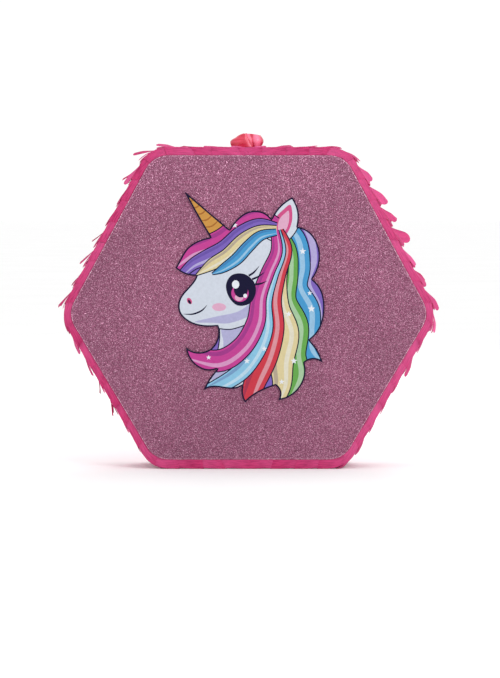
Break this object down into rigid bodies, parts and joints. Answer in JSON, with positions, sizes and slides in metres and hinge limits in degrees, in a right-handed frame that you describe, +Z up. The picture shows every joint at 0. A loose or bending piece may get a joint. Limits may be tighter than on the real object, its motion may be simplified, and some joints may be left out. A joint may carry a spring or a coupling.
{
  "type": "pinata",
  "caption": "Flat hexagonal party pinata with a glitter face, a raised unicorn cutout, cut crepe fringe round its walls, a hanging ribbon and a hinged filler flap in its back.",
  "frame": {"origin": "bottom centre of the object's box, on the surface it stands on", "axes": "+Z up, +Y from the glitter face towards the back, +X to the right of someone facing the glitter face"},
  "size_m": [0.43, 0.0826, 0.3886],
  "materials": {
    "corrugated_board": "brown kraft liners over 3 mm fluting, raw cut edges",
    "gummed_tape": "brown kraft paper tape, glued flat",
    "pink_crepe": "hot pink crepe paper, fine creping across the strip",
    "glitter_foam": "rose foam sheet coated with fine glitter flakes",
    "pink_card": "uncoated pink card",
    "printed_card": "white card, colour print under gloss varnish",
    "foam_tape": "white double-sided foam squares",
    "satin_ribbon": "glossy woven satin ribbon"
  },
  "bodies": {
    "box": {"front_panel": "corrugated_board", "back_panel": "corrugated_board", "side_wall_upper": "corrugated_board", "side_wall_lower": "corrugated_board", "anchor_plate": "corrugated_board", "door_stops": "corrugated_board", "wall_joint_tapes": "gummed_tape", "front_seam_tape": "gummed_tape", "back_seam_tape": "gummed_tape", "crepe_underwrap": "pink_crepe", "fringe_top": "pink_crepe", "fringe_upper_left": "pink_crepe", "fringe_upper_right": "pink_crepe", "fringe_lower_left": "pink_crepe", "fringe_lower_right": "pink_crepe", "fringe_bottom": "pink_crepe", "glitter_sheet": "glitter_foam", "back_cover": "pink_card", "hinge_tape_upper": "gummed_tape", "unicorn_cutout": "printed_card", "foam_pads": "foam_tape", "ribbon_knot": "satin_ribbon"},
    "flap": {"filler_flap": "corrugated_board", "flap_cover": "pink_card", "hinge_tape_lower": "gummed_tape"},
    "ribbon_loop": {"hanging_ribbon": "satin_ribbon"}
  },
  "joints": [
    {"name": "flap_hinge", "type": "hinge", "parent": "box", "child": "flap", "pos_m": [0, 0.04095, 0.2944], "axis": [1, 0, 0], "range_deg": [0, 120]},
    {"name": "hanging_loop_lift", "type": "hinge", "parent": "box", "child": "ribbon_loop", "pos_m": [-0.002, 0, 0.3806], "axis": [1, 0, 0], "range_deg": [0, 180]}
  ]
}
